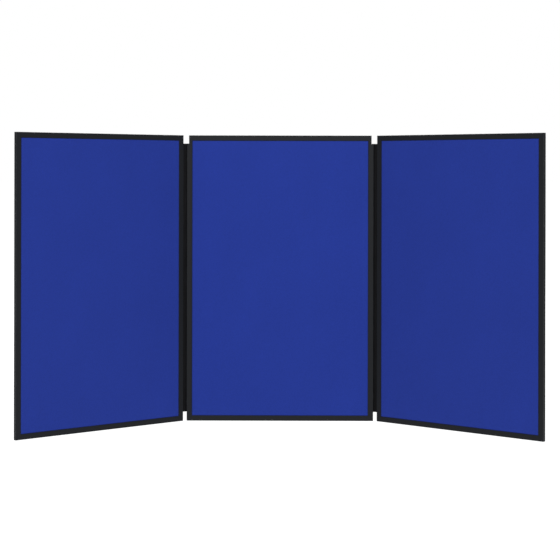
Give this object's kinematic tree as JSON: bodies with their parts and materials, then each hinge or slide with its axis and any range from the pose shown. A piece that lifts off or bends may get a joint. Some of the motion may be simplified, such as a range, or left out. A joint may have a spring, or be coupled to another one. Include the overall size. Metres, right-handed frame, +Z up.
{
  "type": "folding display screen",
  "caption": "Free-standing folding display screen: framed fabric panels joined edge to edge by flexible hinge strips, with wings that swing either way and fold flat for storage.",
  "frame": {"origin": "on the floor, in the middle of the footprint with both wings at their standing angle", "axes": "+X to the viewer's right, +Y from the viewer to the back, +Z up; the centre panel lies across X at the back of the footprint and the wings swing forward, to -Y"},
  "size_m": [1.5512, 0.3782, 0.9],
  "materials": {
    "frame_black": "satin",
    "loop_fabric": "matte",
    "skin_board": "matte",
    "honeycomb_core": "matte",
    "corner_key_metal": "satin",
    "screw_steel": "satin",
    "hinge_strip": "satin"
  },
  "bodies": {
    "centre_panel": {"centre_panel_bottom_rail": "frame_black", "centre_panel_top_rail": "frame_black", "centre_panel_left_stile": "frame_black", "centre_panel_right_stile": "frame_black", "centre_panel_front_fabric": "loop_fabric", "centre_panel_front_skin": "skin_board", "centre_panel_core_board": "honeycomb_core", "centre_panel_back_skin": "skin_board", "centre_panel_back_fabric": "loop_fabric", "centre_panel_corner_keys": "corner_key_metal", "centre_panel_lock_screws": "screw_steel", "left_strip_centre_edge": "hinge_strip", "right_strip_centre_edge": "hinge_strip"},
    "left_strip": {"left_strip_web": "hinge_strip"},
    "left_wing": {"left_wing_bottom_rail": "frame_black", "left_wing_top_rail": "frame_black", "left_wing_outer_stile": "frame_black", "left_wing_hinge_stile": "frame_black", "left_wing_front_fabric": "loop_fabric", "left_wing_front_skin": "skin_board", "left_wing_core_board": "honeycomb_core", "left_wing_back_skin": "skin_board", "left_wing_back_fabric": "loop_fabric", "left_wing_corner_keys": "corner_key_metal", "left_wing_lock_screws": "screw_steel", "left_strip_wing_edge": "hinge_strip"},
    "right_strip": {"right_strip_web": "hinge_strip"},
    "right_wing": {"right_wing_bottom_rail": "frame_black", "right_wing_top_rail": "frame_black", "right_wing_hinge_stile": "frame_black", "right_wing_outer_stile": "frame_black", "right_wing_front_fabric": "loop_fabric", "right_wing_front_skin": "skin_board", "right_wing_core_board": "honeycomb_core", "right_wing_back_skin": "skin_board", "right_wing_back_fabric": "loop_fabric", "right_wing_corner_keys": "corner_key_metal", "right_wing_lock_screws": "screw_steel", "right_strip_wing_edge": "hinge_strip"}
  },
  "joints": [
    {"name": "left_strip_bend", "type": "hinge", "parent": "centre_panel", "child": "left_strip", "pos_m": [-0.295, 0.18284, 0.45], "axis": [0, 0, 1], "range_deg": [-64, 71]},
    {"name": "left_wing_fold", "type": "hinge", "parent": "left_strip", "child": "left_wing", "pos_m": [-0.30786, 0.17841, 0.45], "axis": [0, 0, 1], "range_deg": [-64, 71]},
    {"name": "right_strip_bend", "type": "hinge", "parent": "centre_panel", "child": "right_strip", "pos_m": [0.295, 0.18284, 0.45], "axis": [0, 0, 1], "range_deg": [-26, 109]},
    {"name": "right_wing_fold", "type": "hinge", "parent": "right_strip", "child": "right_wing", "pos_m": [0.30786, 0.17841, 0.45], "axis": [0, 0, 1], "range_deg": [-26, 109]}
  ]
}
